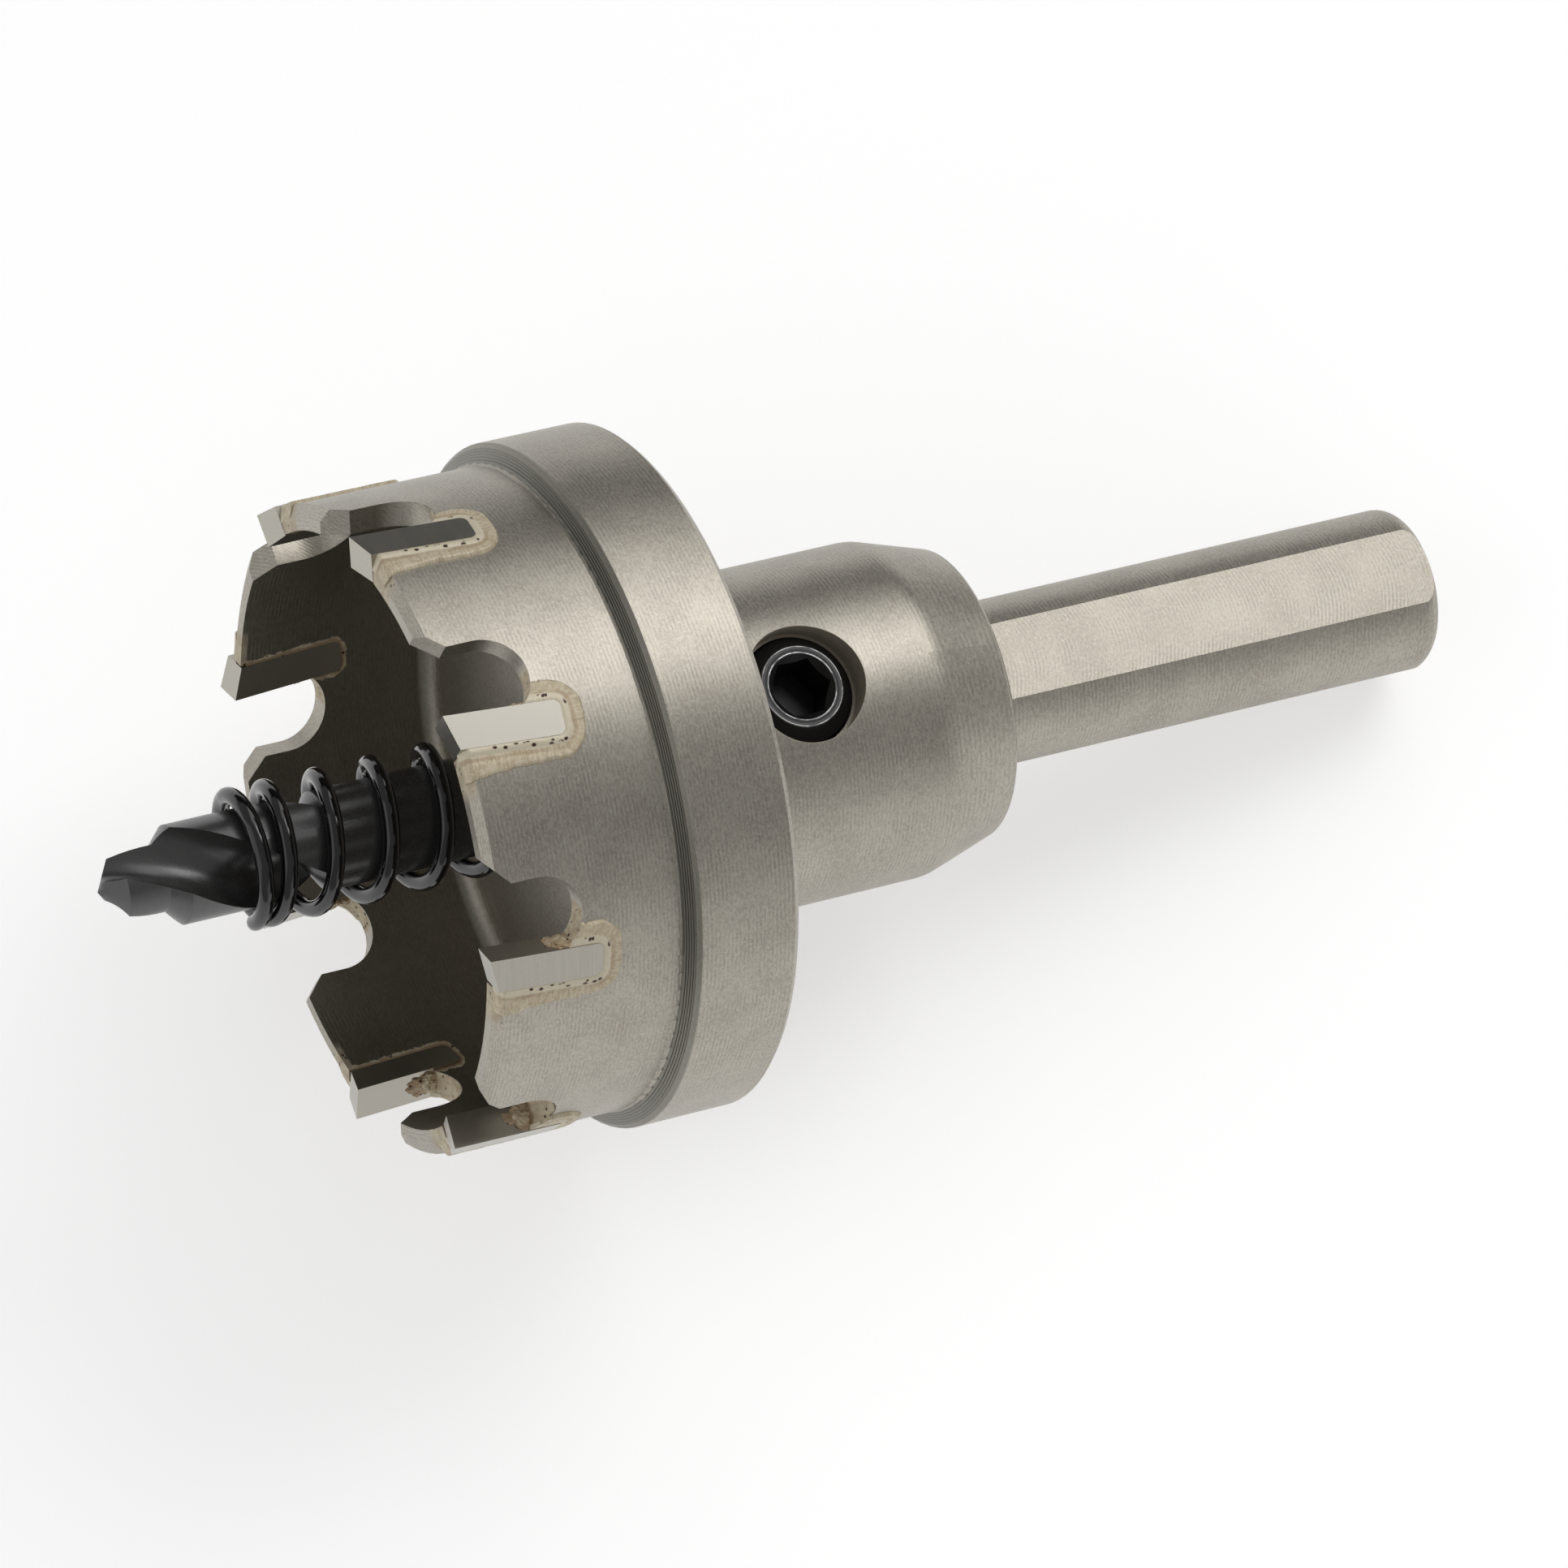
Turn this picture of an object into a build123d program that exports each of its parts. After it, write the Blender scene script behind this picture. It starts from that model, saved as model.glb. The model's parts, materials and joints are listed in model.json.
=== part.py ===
from build123d import *
from math import asin, atan2, cos, degrees, hypot, radians, sin, tan
import os

# A carbide-tipped hole cutter with its pilot drill and ejector spring, in millimetres.
# Every piece is modelled about the tool's own axis: +Z runs towards the shank, the flange's rear
# face is at zero, and angles turn about +Z from +X, where the set screw sits. The finished pieces
# are then laid down as the cutter comes to rest, on its flange and the end of its shank.

# Cup
CUTTING_DIAMETER = 38.1
TOOTH_PROUD = 0.31
WALL_THICKNESS = 1.47
CUP_REACH = 17.88
FLOOR_THICKNESS = 5.83
FLOOR_FILLET = 1.3
RIM_BEVEL_WIDTH = 0.74
RIM_BEVEL_DEPTH = 0.4

# Stop flange
FLANGE_DIAMETER = 39.86
FLANGE_THICKNESS = 6.27
FLANGE_REAR_CHAMFER = 0.35
FLANGE_FRONT_BREAK = 0.25
FLANGE_CONE_DEPTH = 0.5
FLANGE_STEP_FILLET = 0.45

# Hub and shank
HUB_DIAMETER = 19.86
HUB_STRAIGHT_LENGTH = 14.8
HUB_LENGTH = 19.45
HUB_TAPER = 17.2
HUB_ROUNDING = 0.5
HUB_SHOULDER_ROUNDING = 3.0
SHANK_DIAMETER = 9.82
SHANK_REACH = 49.5
SHANK_END_ROUNDING = 1.3
SHANK_FLAT_COUNT = 3
SHANK_FLAT_DISTANCE = 4.33

# Teeth, unevenly spaced round the cup as on the real tool
TOOTH_ANGLES = (-42.0, -0.6, 41.6, 90.7, 137.5, 181.9, 226.4, 274.4)
TOOTH_THICKNESS = 2.0
TOOTH_DEPTH = 1.95
TOOTH_REACH = 18.38
TOOTH_LENGTH = 6.83
TOOTH_CORNER = 0.45
AXIAL_RAKE = 4.0
FRONT_RELIEF = 12.0
FRONT_SLOPE = 3.2
SIDE_RELIEF = 5.0

# Gullet in front of each tooth
GULLET_RADIUS = 2.45
GULLET_CENTRE_REACH = 15.08
GULLET_LEAD = 4.05
GULLET_CHAMFER = 0.87

# Braze round each tooth, in its joint and in a band that stands out over the wall
JOINT_GAP = 0.12
BRAZE_WIDTH = 1.0
BRAZE_HEIGHT = 0.15

# Pilot drill
PILOT_DIAMETER = 5.74
PILOT_REACH = 33.83
PILOT_POINT_ANGLE = 115.0
NOSE_DIAMETER = 3.84
NOSE_LENGTH = 3.63
SHOULDER_ANGLE = 45.0
DRILL_CORE = 1.1
FLUTE_OPENING = 93.0
FLUTE_TWIST = 13.2
FLUTE_ANGLE = -1.9
FLUTE_ANGLE_REACH = 29.0
FLUTE_END_REACH = 20.5
FLUTE_RUN_OUT = 2.0
PILOT_END_CHAMFER = 0.4
BORE_DEPTH = 15.0
BORE_POINT_ANGLE = 118.0
BORE_CLEARANCE = 0.03

# Set screw that clamps the pilot drill
SCREW_DIAMETER = 6.35
SCREW_LENGTH = 6.35
SCREW_POSITION = 6.75
SCREW_CLEARANCE = 0.155
SCREW_MOUTH_DIAMETER = 7.0
SCREW_MOUTH_DEPTH = 2.0
SCREW_TOP_CHAMFER = 0.77
SCREW_POINT_CHAMFER = 1.0
SOCKET_SIZE = 3.175
SOCKET_DEPTH = 3.0
SOCKET_COUNTERSINK = 4.0
PILOT_FLAT_DISTANCE = 2.65
PILOT_FLAT_LENGTH = 8.0

# Ejector spring, wound left-handed, its turns counted from the front. Its wire is round, and is
# drawn with a few flats so that the long coil stays light.
WIRE_DIAMETER = 1.0
WIRE_SIDES = 12
SPRING_OUTER_DIAMETER = 8.26
SPRING_REACH = 25.7
SPRING_START_ANGLE = 15.0
FRONT_CLOSED_TURNS = 0.7
ACTIVE_TURNS = 5.25
REAR_CLOSED_TURNS = 1.0
CLOSED_TURN_GAP = 0.03
SPRING_SEAT_GAP = 0.02

# Radii and positions that follow from the sizes above
CUTTING_RADIUS = CUTTING_DIAMETER / 2
WALL_OUTER = CUTTING_RADIUS - TOOTH_PROUD
WALL_INNER = WALL_OUTER - WALL_THICKNESS
FLANGE_RADIUS = FLANGE_DIAMETER / 2
HUB_RADIUS = HUB_DIAMETER / 2
HUB_REAR_RADIUS = HUB_RADIUS - (HUB_LENGTH - HUB_STRAIGHT_LENGTH) * tan(radians(HUB_TAPER))
SHANK_RADIUS = SHANK_DIAMETER / 2
PILOT_RADIUS = PILOT_DIAMETER / 2
NOSE_RADIUS = NOSE_DIAMETER / 2
SCREW_RADIUS = SCREW_DIAMETER / 2
BORE_RADIUS = PILOT_RADIUS + BORE_CLEARANCE
TOOTH_INNER = CUTTING_RADIUS - TOOTH_DEPTH

# Spare length on cutting tools, so that they pass right through what they cut
SPARE = 1.0

# How a cutting tool sits on the point where it is placed
ON_BASE = (Align.CENTER, Align.CENTER, Align.MIN)
UNDER_TOP = (Align.CENTER, Align.CENTER, Align.MAX)
BESIDE = (Align.MIN, Align.CENTER, Align.CENTER)


def turned(points, roundings=()):
    """A solid of revolution about Z from (radius, height) points, some corners rounded."""
    face = make_face(Polyline(*points, close=True))
    for corner, radius in roundings:
        nearest = face.vertices().sort_by_distance(corner)[0]
        face = fillet(nearest, radius)
    return revolve(Plane.XZ * face, Axis.Z)


def tube_between(inner, outer, bottom, top):
    """A plain ring about Z between two radii and two heights."""
    return turned([(inner, bottom), (outer, bottom), (outer, top), (inner, top)])


def outside_view(angle):
    """The plane seen from outside at an angle: x round the cup, y to the shank, z outwards."""
    outwards = (cos(radians(angle)), sin(radians(angle)), 0)
    round_the_cup = (-sin(radians(angle)), cos(radians(angle)), 0)
    return Plane(origin=(0, 0, 0), x_dir=round_the_cup, z_dir=outwards)


def body_blank():
    """The cup, flange, hub and shank as turned from one bar."""
    shank_end = (SHANK_RADIUS, SHANK_REACH)
    hub_rear = (HUB_REAR_RADIUS, HUB_LENGTH)
    hub_shoulder = (HUB_RADIUS, HUB_STRAIGHT_LENGTH)
    flange_step = (WALL_OUTER, -FLANGE_THICKNESS - FLANGE_CONE_DEPTH)
    floor_corner = (WALL_INNER, -FLOOR_THICKNESS)
    points = [
        (0, SHANK_REACH),
        shank_end,
        (SHANK_RADIUS, HUB_LENGTH),
        hub_rear,
        hub_shoulder,
        (HUB_RADIUS, 0),
        (FLANGE_RADIUS - FLANGE_REAR_CHAMFER, 0),
        (FLANGE_RADIUS, -FLANGE_REAR_CHAMFER),
        (FLANGE_RADIUS, -FLANGE_THICKNESS + FLANGE_FRONT_BREAK),
        (FLANGE_RADIUS - FLANGE_FRONT_BREAK, -FLANGE_THICKNESS),
        flange_step,
        (WALL_OUTER, -CUP_REACH + RIM_BEVEL_DEPTH),
        (WALL_OUTER - RIM_BEVEL_WIDTH, -CUP_REACH),
        (WALL_INNER, -CUP_REACH),
        floor_corner,
        (0, -FLOOR_THICKNESS),
    ]
    roundings = [
        (shank_end, SHANK_END_ROUNDING),
        (hub_rear, HUB_ROUNDING),
        (hub_shoulder, HUB_SHOULDER_ROUNDING),
        (flange_step, FLANGE_STEP_FILLET),
        (floor_corner, FLOOR_FILLET),
    ]
    return turned(points, roundings)


def shank_flats():
    """What is milled off the shank to leave its flats for the chuck's jaws."""
    depth = SHANK_RADIUS - SHANK_FLAT_DISTANCE + SPARE
    length = SHANK_REACH - HUB_LENGTH + SPARE
    flat = Box(depth, SHANK_DIAMETER, length, align=BESIDE)
    flat = Pos(SHANK_FLAT_DISTANCE, 0, HUB_LENGTH + length / 2) * flat
    return [Rot(0, 0, turn * 360 / SHANK_FLAT_COUNT) * flat for turn in range(SHANK_FLAT_COUNT)]


def pilot_bore():
    """The blind hole for the pilot drill, with the cone that a drill leaves."""
    point = BORE_RADIUS / tan(radians(BORE_POINT_ANGLE / 2))
    return turned([
        (0, -FLOOR_THICKNESS - SPARE),
        (BORE_RADIUS, -FLOOR_THICKNESS - SPARE),
        (BORE_RADIUS, BORE_DEPTH),
        (0, BORE_DEPTH + point),
    ])


def screw_hole():
    """The set screw's hole, from the hub's surface in to the bore, with a wider mouth."""
    hole = Cylinder(SCREW_RADIUS + SCREW_CLEARANCE, HUB_RADIUS + SPARE, align=ON_BASE)
    mouth = Cylinder(SCREW_MOUTH_DIAMETER / 2, SCREW_MOUTH_DEPTH + SPARE, align=ON_BASE)
    hole += Pos(0, 0, HUB_RADIUS - SCREW_MOUTH_DEPTH) * mouth
    return Plane(origin=(0, 0, SCREW_POSITION), z_dir=(1, 0, 0)) * hole


def gullet():
    """What is milled out of the wall in front of a tooth whose rake face is at angle zero."""
    front = -CUP_REACH - SPARE
    centre = -GULLET_CENTRE_REACH
    chamfer_top = -CUP_REACH + RIM_BEVEL_DEPTH + GULLET_CHAMFER
    chamfer_spread = GULLET_RADIUS + chamfer_top - front
    slot = Pos(0, centre) * Circle(GULLET_RADIUS)
    slot += Pos(0, (front + centre) / 2) * Rectangle(2 * GULLET_RADIUS, centre - front)
    slot += make_face(Polyline(
        (0, chamfer_top),
        (-GULLET_RADIUS, chamfer_top),
        (-chamfer_spread, front),
        (0, front),
        close=True,
    ))
    centre_angle = -degrees((GULLET_LEAD - GULLET_RADIUS) / WALL_OUTER)
    view = outside_view(centre_angle)
    return extrude(view.offset(WALL_INNER - SPARE) * slot, WALL_THICKNESS + 2 * SPARE)


def tooth_outline(margin, spare_front=0):
    """The tooth seen from outside, leaning back by its axial rake, grown by a margin."""
    width = TOOTH_THICKNESS + 2 * margin
    length = TOOTH_LENGTH + 2 * margin + spare_front
    outline = Rectangle(width, length, align=(Align.MIN, Align.MAX))
    rear = outline.vertices().group_by(Axis.Y)[-1]
    outline = fillet(rear, TOOTH_CORNER + margin)
    outline = Pos(-margin, TOOTH_LENGTH + margin) * outline
    return Pos(0, -TOOTH_REACH) * Rot(0, 0, -AXIAL_RAKE) * outline


def tooth_prism(margin):
    """The tooth's outline, grown by a margin, as a bar right through the wall at angle zero."""
    view = outside_view(0)
    outline = tooth_outline(margin, SPARE)
    return extrude(view.offset(WALL_INNER - SPARE) * outline, WALL_THICKNESS + 2 * SPARE)


def carbide_tooth():
    """One tooth at angle zero: a carbide bar with its front, side and inner faces ground."""
    bar = extrude(Plane.XY.offset(TOOTH_INNER) * tooth_outline(0, SPARE), TOOTH_DEPTH)
    outer_edge = (0, -TOOTH_REACH, CUTTING_RADIUS)
    front_face = Plane(outer_edge, z_dir=(-tan(radians(FRONT_RELIEF)), 1, tan(radians(FRONT_SLOPE))))
    side_face = Plane(outer_edge, z_dir=(sin(radians(SIDE_RELIEF)), 0, cos(radians(SIDE_RELIEF))))
    bar = split(bar, bisect_by=front_face, keep=Keep.TOP)
    bar = split(bar, bisect_by=side_face, keep=Keep.BOTTOM)
    return outside_view(0) * bar


def braze_joint():
    """The filler metal round the tooth at angle zero: in the joint's gap and out over the wall."""
    front = -CUP_REACH + RIM_BEVEL_DEPTH
    rear = -FLANGE_THICKNESS
    in_joint = tooth_prism(JOINT_GAP) & tube_between(WALL_INNER, WALL_OUTER, front, rear)
    outside = tube_between(WALL_OUTER, WALL_OUTER + BRAZE_HEIGHT, front, rear)
    return in_joint + (tooth_prism(BRAZE_WIDTH) & outside) - carbide_tooth() - gullet()


def cutter_body():
    """The steel body: turned, then drilled, milled and notched for the teeth."""
    body = body_blank() - shank_flats() - pilot_bore() - screw_hole()
    notch = gullet() + tooth_prism(JOINT_GAP)
    return body - [Rot(0, 0, angle) * notch for angle in TOOTH_ANGLES]


def drill_section():
    """The cross-section of a bar wider than the drill, with its two flutes, one facing angle zero."""
    half_core = DRILL_CORE / 2
    opening = PILOT_RADIUS * cos(radians(FLUTE_OPENING / 2))
    flute_centre = (PILOT_RADIUS ** 2 - half_core ** 2) / (2 * (opening - half_core))
    flute = Circle(flute_centre - half_core)
    bar = Circle(PILOT_RADIUS + SPARE)
    return bar - Pos(flute_centre, 0) * flute - Pos(-flute_centre, 0) * flute


def drill_shape(rear):
    """The drill as a plain turned bar, with its point, stepped nose and shoulder."""
    point = NOSE_RADIUS / tan(radians(PILOT_POINT_ANGLE / 2))
    shoulder = (PILOT_RADIUS - NOSE_RADIUS) / tan(radians(SHOULDER_ANGLE))
    nose_end = -PILOT_REACH + NOSE_LENGTH
    return turned([
        (0, -PILOT_REACH),
        (NOSE_RADIUS, -PILOT_REACH + point),
        (NOSE_RADIUS, nose_end),
        (PILOT_RADIUS, nose_end + shoulder),
        (PILOT_RADIUS, rear - PILOT_END_CHAMFER),
        (PILOT_RADIUS - PILOT_END_CHAMFER, rear),
        (0, rear),
    ])


def pilot_drill():
    """The pilot drill: a fluted front that runs out in a cone to a plain shank with a flat."""
    rear = BORE_DEPTH - BORE_CLEARANCE
    front = -PILOT_REACH - SPARE
    fluted_length = -FLUTE_END_REACH - front
    twist = FLUTE_TWIST * fluted_length
    start_angle = FLUTE_ANGLE - FLUTE_TWIST * (-FLUTE_ANGLE_REACH - front)
    section = Pos(0, 0, front) * Rot(0, 0, start_angle) * drill_section()
    fluted = Part()
    fluted += Solid.extrude_linear_with_rotation(
        section.face(), center=(0, 0, front), normal=(0, 0, fluted_length), angle=twist)
    wide = PILOT_RADIUS + SPARE
    shank = turned([
        (0, -FLUTE_END_REACH - FLUTE_RUN_OUT),
        (wide, -FLUTE_END_REACH - FLUTE_RUN_OUT * (1 - wide / PILOT_RADIUS)),
        (wide, rear + SPARE),
        (0, rear + SPARE),
    ])
    flat = Box(PILOT_RADIUS, PILOT_DIAMETER, PILOT_FLAT_LENGTH, align=BESIDE)
    flat = Pos(PILOT_FLAT_DISTANCE, 0, SCREW_POSITION) * flat
    return drill_shape(rear) & (fluted + shank) - flat


def set_screw():
    """The socket set screw, its point seated on the pilot drill's flat."""
    rim = SCREW_RADIUS - SCREW_TOP_CHAMFER
    screw = turned([
        (0, 0),
        (SCREW_RADIUS - SCREW_POINT_CHAMFER, 0),
        (SCREW_RADIUS, SCREW_POINT_CHAMFER),
        (SCREW_RADIUS, SCREW_LENGTH - SCREW_TOP_CHAMFER),
        (rim, SCREW_LENGTH),
        (0, SCREW_LENGTH),
    ])
    hexagon = RegularPolygon(SOCKET_SIZE / 2, 6, major_radius=False)
    socket = extrude(Pos(0, 0, SCREW_LENGTH - SOCKET_DEPTH) * hexagon, SOCKET_DEPTH)
    countersink = Cone(0, SOCKET_COUNTERSINK / 2, SOCKET_COUNTERSINK / 2, align=UNDER_TOP)
    screw = screw - socket - Pos(0, 0, SCREW_LENGTH) * countersink
    return Plane(origin=(PILOT_FLAT_DISTANCE, 0, SCREW_POSITION), z_dir=(1, 0, 0)) * screw


def ejector_spring():
    """The spring round the pilot drill, seated on the cup's floor, its end turns wound close."""
    wire_radius = WIRE_DIAMETER / 2
    coil_radius = SPRING_OUTER_DIAMETER / 2 - wire_radius
    front = -SPRING_REACH + wire_radius
    rear = -FLOOR_THICKNESS - SPRING_SEAT_GAP - wire_radius
    closed_pitch = WIRE_DIAMETER + CLOSED_TURN_GAP
    closed_turns = FRONT_CLOSED_TURNS + REAR_CLOSED_TURNS
    active_pitch = (rear - front - closed_turns * closed_pitch) / ACTIVE_TURNS
    stretches = [
        (FRONT_CLOSED_TURNS, closed_pitch),
        (ACTIVE_TURNS, active_pitch),
        (REAR_CLOSED_TURNS, closed_pitch),
    ]
    edges = []
    height = front
    angle = SPRING_START_ANGLE
    for turns, pitch in stretches:
        line = Helix(pitch, turns * pitch, coil_radius, lefthand=True)
        edges += (Pos(0, 0, height) * Rot(0, 0, angle) * line).edges()
        height += turns * pitch
        angle -= 360 * turns
    section = Plane(edges[0] @ 0, z_dir=edges[0] % 0) * RegularPolygon(wire_radius, WIRE_SIDES)
    return sweep(section, path=Wire(edges), is_frenet=True)


def resting_place():
    """Where the tool's axis lies at rest: on the flange's edge and the rounding of the shank's end."""
    along = SHANK_REACH - SHANK_END_ROUNDING + FLANGE_REAR_CHAMFER
    down = FLANGE_RADIUS - (SHANK_RADIUS - SHANK_END_ROUNDING)
    tilt = atan2(down, along) - asin(SHANK_END_ROUNDING / hypot(down, along))
    height = FLANGE_RADIUS * cos(tilt) - FLANGE_REAR_CHAMFER * sin(tilt)
    return Plane((0, 0, height), x_dir=(sin(tilt), 0, cos(tilt)), z_dir=(cos(tilt), 0, -sin(tilt)))


def build_pieces():
    """Every piece by name, still about the tool's own axis."""
    pieces = {
        "cutter_body": cutter_body(),
        "pilot_drill": pilot_drill(),
        "ejector_spring": ejector_spring(),
        "set_screw": set_screw(),
    }
    tooth = carbide_tooth()
    braze = braze_joint()
    for number, angle in enumerate(TOOTH_ANGLES, start=1):
        pieces[f"carbide_tooth_{number}"] = Rot(0, 0, angle) * tooth
        pieces[f"braze_joint_{number}"] = Rot(0, 0, angle) * braze
    return pieces


def lay_down(pieces):
    """The pieces as they lie at rest, the origin under the middle of their length."""
    placed = {name: resting_place() * piece for name, piece in pieces.items()}
    boxes = [piece.bounding_box() for piece in placed.values()]
    middle = (min(box.min.X for box in boxes) + max(box.max.X for box in boxes)) / 2
    return {name: Pos(-middle, 0, 0) * piece for name, piece in placed.items()}


os.makedirs("parts", exist_ok=True)
for name, piece in lay_down(build_pieces()).items():
    export_step(piece, f"parts/{name}.step")
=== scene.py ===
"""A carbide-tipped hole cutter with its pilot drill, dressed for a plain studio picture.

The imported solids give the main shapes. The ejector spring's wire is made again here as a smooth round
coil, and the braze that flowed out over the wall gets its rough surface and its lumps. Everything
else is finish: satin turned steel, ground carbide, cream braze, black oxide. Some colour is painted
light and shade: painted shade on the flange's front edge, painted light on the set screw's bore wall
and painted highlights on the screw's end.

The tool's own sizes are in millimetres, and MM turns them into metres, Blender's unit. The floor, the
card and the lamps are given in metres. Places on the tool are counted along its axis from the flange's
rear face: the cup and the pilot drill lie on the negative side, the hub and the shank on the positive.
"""

from __future__ import annotations

import json
import logging
import math
from dataclasses import dataclass, field
from enum import Enum

import bpy
from mathutils import Matrix, Vector, noise

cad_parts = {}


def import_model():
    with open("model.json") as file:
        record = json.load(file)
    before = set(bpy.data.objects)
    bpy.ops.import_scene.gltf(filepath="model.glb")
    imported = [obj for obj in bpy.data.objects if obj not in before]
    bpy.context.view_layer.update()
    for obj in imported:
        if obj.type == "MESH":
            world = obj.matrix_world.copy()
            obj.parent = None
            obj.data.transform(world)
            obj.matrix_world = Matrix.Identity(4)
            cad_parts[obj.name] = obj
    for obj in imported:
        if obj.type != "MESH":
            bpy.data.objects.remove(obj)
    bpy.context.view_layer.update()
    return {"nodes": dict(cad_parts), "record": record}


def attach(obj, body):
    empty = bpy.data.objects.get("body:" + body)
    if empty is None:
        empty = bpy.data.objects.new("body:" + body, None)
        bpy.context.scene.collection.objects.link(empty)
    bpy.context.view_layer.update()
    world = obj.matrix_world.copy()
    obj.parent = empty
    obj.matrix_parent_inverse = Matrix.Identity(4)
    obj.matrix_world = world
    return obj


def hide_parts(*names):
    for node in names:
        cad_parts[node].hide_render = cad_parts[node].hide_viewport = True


MM = 0.001
PER_METRE = 1000.0
SHANK_REACH = 49.5
SCREW_PLACE = 6.75
LOG = logging.getLogger("hole_cutter")

# The Mix node has one row of sockets for each type of value. These are the numbers of those that are used.
MIX_SHARE = 0
MIX_VECTORS = (4, 5)
MIX_VECTOR = 1
MIX_COLOURS = (6, 7)
MIX_COLOUR = 2

Colour = tuple[float, float, float]


class Slot(Enum):
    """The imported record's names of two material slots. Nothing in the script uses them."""

    BRAZE = "braze_metal"
    SPRING = "spring_steel"


@dataclass(frozen=True)
class Wire:
    """A socket of a shader graph. Its Python operators add Math nodes."""

    graph: Graph
    socket: bpy.types.NodeSocket

    def math(self, operation: str, *others: Wire | float) -> Wire:
        """Adds one Math node.

        Args:
            operation: Blender's name of the operation.
            others: the operands after this one.

        Returns:
            The node's value.
        """
        return self.graph.math(operation, self, *others)

    def __add__(self, other: Wire | float) -> Wire:
        """This value plus another."""
        return self.math("ADD", other)

    def __radd__(self, other: float) -> Wire:
        """A number plus this value."""
        return self.math("ADD", other)

    def __sub__(self, other: Wire | float) -> Wire:
        """This value less another."""
        return self.math("SUBTRACT", other)

    def __rsub__(self, other: float) -> Wire:
        """A number less this value."""
        return self.graph.math("SUBTRACT", other, self)

    def __mul__(self, other: Wire | float) -> Wire:
        """This value times another."""
        return self.math("MULTIPLY", other)

    def __rmul__(self, other: float) -> Wire:
        """A number times this value."""
        return self.math("MULTIPLY", other)

    def __abs__(self) -> Wire:
        """This value without its sign."""
        return self.math("ABSOLUTE")

    def least(self, other: Wire | float) -> Wire:
        """The smaller of this value and another."""
        return self.math("MINIMUM", other)

    def most(self, other: Wire | float) -> Wire:
        """The larger of this value and another."""
        return self.math("MAXIMUM", other)

    def rise(self, low: float, high: float) -> Wire:
        """A smooth step.

        Args:
            low: where the step starts, at 0.
            high: where it ends, at 1. A high under the low gives a falling step.

        Returns:
            A value from 0 to 1.
        """
        if high < low:
            return 1 - self.rise(high, low)
        settings = {"interpolation_type": "SMOOTHSTEP"}
        return self.graph.node("ShaderNodeMapRange", settings, [self, low, high, 0.0, 1.0])


@dataclass
class Graph:
    """The nodes of one material."""

    material: bpy.types.Material
    tree: bpy.types.NodeTree = field(init=False)

    def __post_init__(self) -> None:
        """Starts from an empty node tree."""
        self.material.use_nodes = True
        self.tree = self.material.node_tree
        self.tree.nodes.clear()

    def add(self, kind: str, settings: dict | None, inputs: dict | list | None) -> bpy.types.Node:
        """Adds a node of any kind.

        Args:
            kind: the node's type.
            settings: attributes that are set before the sockets.
            inputs: values or wires, by socket name or number, or in order.

        Returns:
            The node.
        """
        made = self.tree.nodes.new(kind)
        for name, value in (settings or {}).items():
            setattr(made, name, value)
        pairs = inputs.items() if isinstance(inputs, dict) else enumerate(inputs or [])
        for key, value in pairs:
            socket = made.inputs[key]
            if isinstance(value, Wire):
                self.tree.links.new(value.socket, socket)
            else:
                socket.default_value = value
        return made

    def node(
        self,
        kind: str,
        settings: dict | None = None,
        inputs: dict | list | None = None,
        output: int | str = 0,
    ) -> Wire:
        """Adds a node as add does.

        Args:
            kind: the node's type.
            settings: attributes that are set before the sockets.
            inputs: values or wires, by socket name or number, or in order.
            output: the output that is handed back.

        Returns:
            The chosen output.
        """
        return Wire(self, self.add(kind, settings, inputs).outputs[output])

    def math(self, operation: str, *operands: Wire | float) -> Wire:
        """Adds one Math node and hands back its value."""
        return self.node("ShaderNodeMath", {"operation": operation}, list(operands))

    def vector(self, x: Wire | float, y: Wire | float, z: Wire | float) -> Wire:
        """Joins three values into a vector."""
        return self.node("ShaderNodeCombineXYZ", None, [x, y, z])

    def mix(self, share: Wire | float, first: Wire | Colour, second: Wire | Colour) -> Wire:
        """Mixes two colours.

        Args:
            share: 0 for the first colour, 1 for the second.
            first: a colour or a wire.
            second: a colour or a wire.

        Returns:
            The mixed colour.
        """
        sides = [side if isinstance(side, Wire) else (*side, 1.0) for side in (first, second)]
        inputs = {MIX_SHARE: share, **dict(zip(MIX_COLOURS, sides))}
        return self.node("ShaderNodeMix", {"data_type": "RGBA"}, inputs, MIX_COLOUR)

    def noise(self, where: Wire, scale: float, detail: float = 2.0, roughness: float = 0.5) -> Wire:
        """Smooth noise.

        Args:
            where: the coordinates.
            scale: waves in one unit of the coordinates.
            detail: finer layers on top.
            roughness: how strong those layers are.

        Returns:
            A value near 0.5.
        """
        inputs = {"Vector": where, "Scale": scale, "Detail": detail, "Roughness": roughness}
        return self.node("ShaderNodeTexNoise", None, inputs)

    def bump(self, height: Wire, normal: Wire | None = None) -> Wire:
        """Turns a height in millimetres into a normal.

        Args:
            height: the height.
            normal: the normal that it tilts, or the surface's own.

        Returns:
            The tilted normal.
        """
        inputs = {"Strength": 1.0, "Distance": MM, "Height": height}
        if normal:
            inputs["Normal"] = normal
        return self.node("ShaderNodeBump", None, inputs)

    def finish(self, **sockets: Wire | Colour | float) -> bpy.types.Material:
        """Closes the graph with a Principled shader.

        Args:
            sockets: the shader's sockets, with underscores for spaces.

        Returns:
            The finished material.
        """
        inputs = {}
        for name, value in sockets.items():
            key = name.replace("_", " ")
            inputs[key] = (*value, 1.0) if isinstance(value, tuple) and len(value) == 3 else value
        shader = self.node("ShaderNodeBsdfPrincipled", None, inputs)
        self.add("ShaderNodeOutputMaterial", None, {"Surface": shader})
        return self.material


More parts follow.
